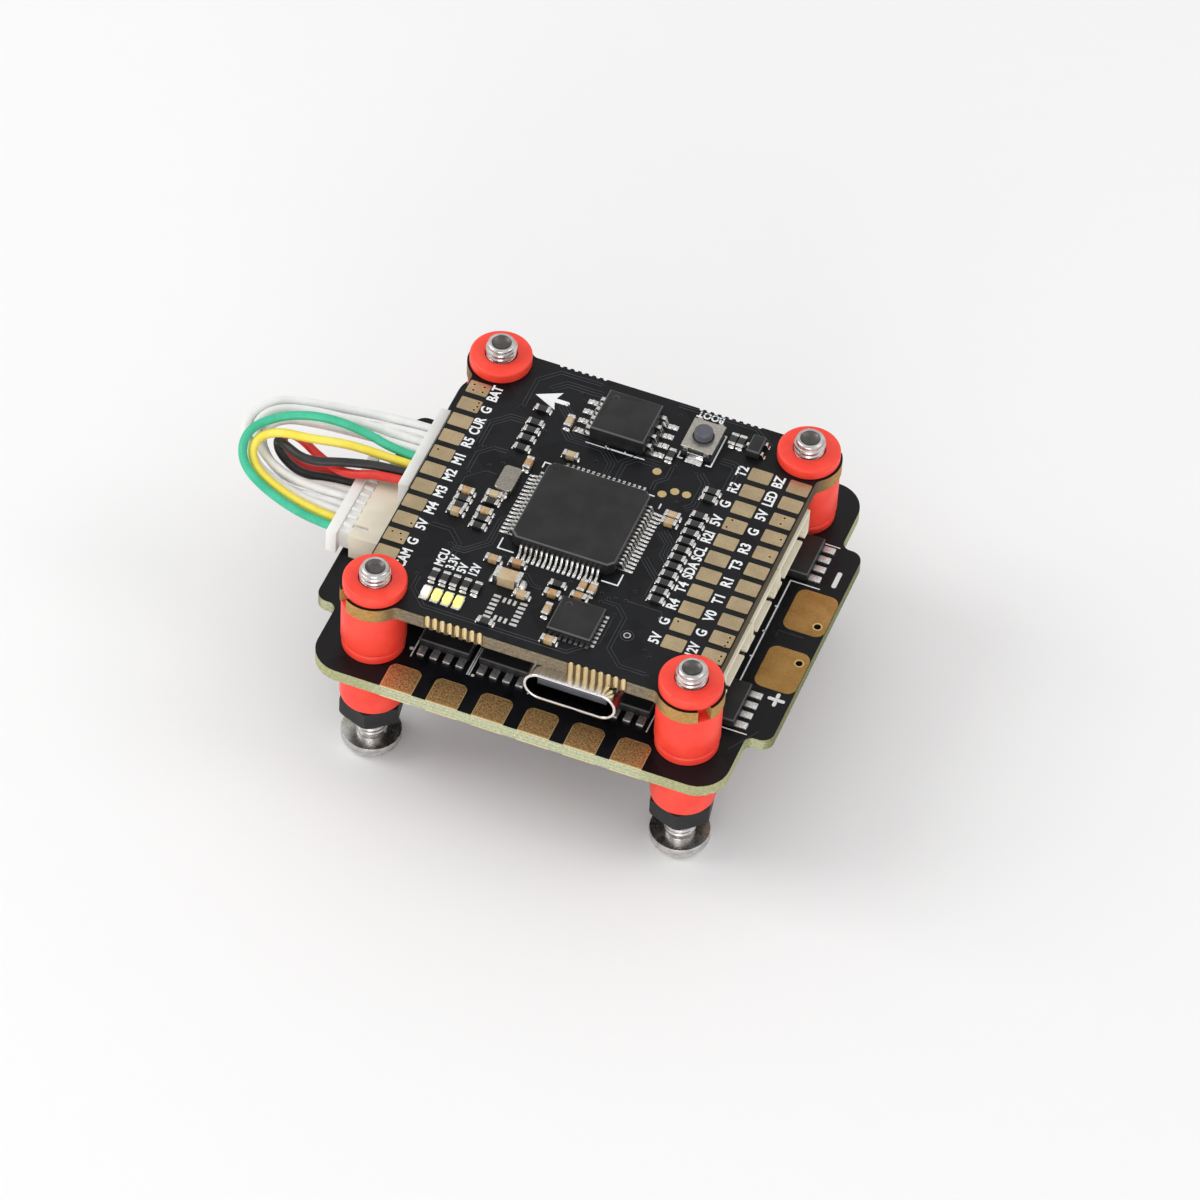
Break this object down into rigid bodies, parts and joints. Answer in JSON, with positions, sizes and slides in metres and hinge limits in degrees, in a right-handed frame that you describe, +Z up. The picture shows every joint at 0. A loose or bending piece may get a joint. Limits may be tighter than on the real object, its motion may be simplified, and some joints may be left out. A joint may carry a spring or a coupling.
{
  "type": "flight controller stack",
  "caption": "Square flight controller board stacked on a speed controller board, on red rubber grommets and long screws, joined by a short multi-colour wire harness.",
  "frame": {"origin": "centre of the square hole pattern, on the plane under the four screw heads", "axes": "+X towards the battery pads, -X towards the harness, -Y towards the USB socket, +Z up through the boards to the screw tips"},
  "size_m": [0.0579, 0.04, 0.0236],
  "materials": {
    "board_mask": "black solder mask on glass-fibre laminate",
    "gold_pad": "gold plated copper",
    "tinned_metal": "tinned, satin",
    "chip_black": "moulded epoxy, blank",
    "ceramic_tan": "fired ceramic",
    "resistor_black": "glazed",
    "cream_plastic": "moulded",
    "white_plastic": "moulded",
    "red_silicone": "soft, satin",
    "screw_steel": "bright steel",
    "nut_black": "nylon",
    "usb_steel": "bright plated",
    "usb_plastic": "moulded",
    "switch_cover": "satin",
    "button_grey": "moulded",
    "switch_plastic": "moulded",
    "led_resin": "clear yellow resin",
    "led_base": "white ceramic",
    "ferrite": "moulded iron powder",
    "crystal_can": "polished can",
    "wire_white": "silicone insulation",
    "wire_green": "silicone insulation",
    "wire_yellow": "silicone insulation",
    "wire_black": "silicone insulation",
    "wire_red": "silicone insulation"
  },
  "bodies": {
    "stack": {"screws": "screw_steel", "nuts": "nut_black", "fc_grommets": "red_silicone", "esc_grommets": "red_silicone", "fc_board": "board_mask", "fc_solder_pads": "gold_pad", "mcu_chip": "chip_black", "mcu_leads": "tinned_metal", "flash_chip": "chip_black", "flash_leads": "tinned_metal", "osd_chip": "chip_black", "transistor": "chip_black", "transistor_leads": "tinned_metal", "crystal": "crystal_can", "chip_capacitors": "ceramic_tan", "chip_resistors": "resistor_black", "chip_ends": "tinned_metal", "bulk_capacitor": "ceramic_tan", "led_bases": "led_base", "led_lenses": "led_resin", "bare_lands": "tinned_metal", "boot_switch_base": "switch_plastic", "boot_switch_dome": "tinned_metal", "boot_switch_cover": "switch_cover", "boot_switch_terminals": "tinned_metal", "usb_shell": "usb_steel", "usb_tongue": "usb_plastic", "usb_contacts": "gold_pad", "fc_header": "cream_plastic", "esc_header": "cream_plastic", "header_pins": "tinned_metal", "fc_plug": "white_plastic", "esc_plug": "white_plastic", "plug_terminals": "tinned_metal", "front_socket": "cream_plastic", "middle_socket": "cream_plastic", "rear_socket": "cream_plastic", "socket_pins": "tinned_metal", "power_inductors": "ferrite", "underside_chips": "chip_black", "esc_board": "board_mask", "motor_pads": "gold_pad", "battery_pads": "gold_pad", "top_mosfets": "chip_black", "top_mosfet_leads": "tinned_metal", "bottom_mosfets": "chip_black", "bottom_mosfet_leads": "tinned_metal", "motor_control_chips": "chip_black", "current_shunts": "resistor_black", "filter_capacitors": "ceramic_tan", "white_wire_a": "wire_white", "white_wire_b": "wire_white", "white_wire_c": "wire_white", "white_wire_d": "wire_white", "green_wire": "wire_green", "yellow_wire": "wire_yellow", "black_wire": "wire_black", "red_wire": "wire_red"},
    "button": {"boot_button": "button_grey"}
  },
  "joints": [
    {"name": "boot_button_press", "type": "slide", "parent": "stack", "child": "button", "axis": [0, 0, -1], "range_m": [0, 0.00025], "stiffness_N_per_m": 4000}
  ]
}
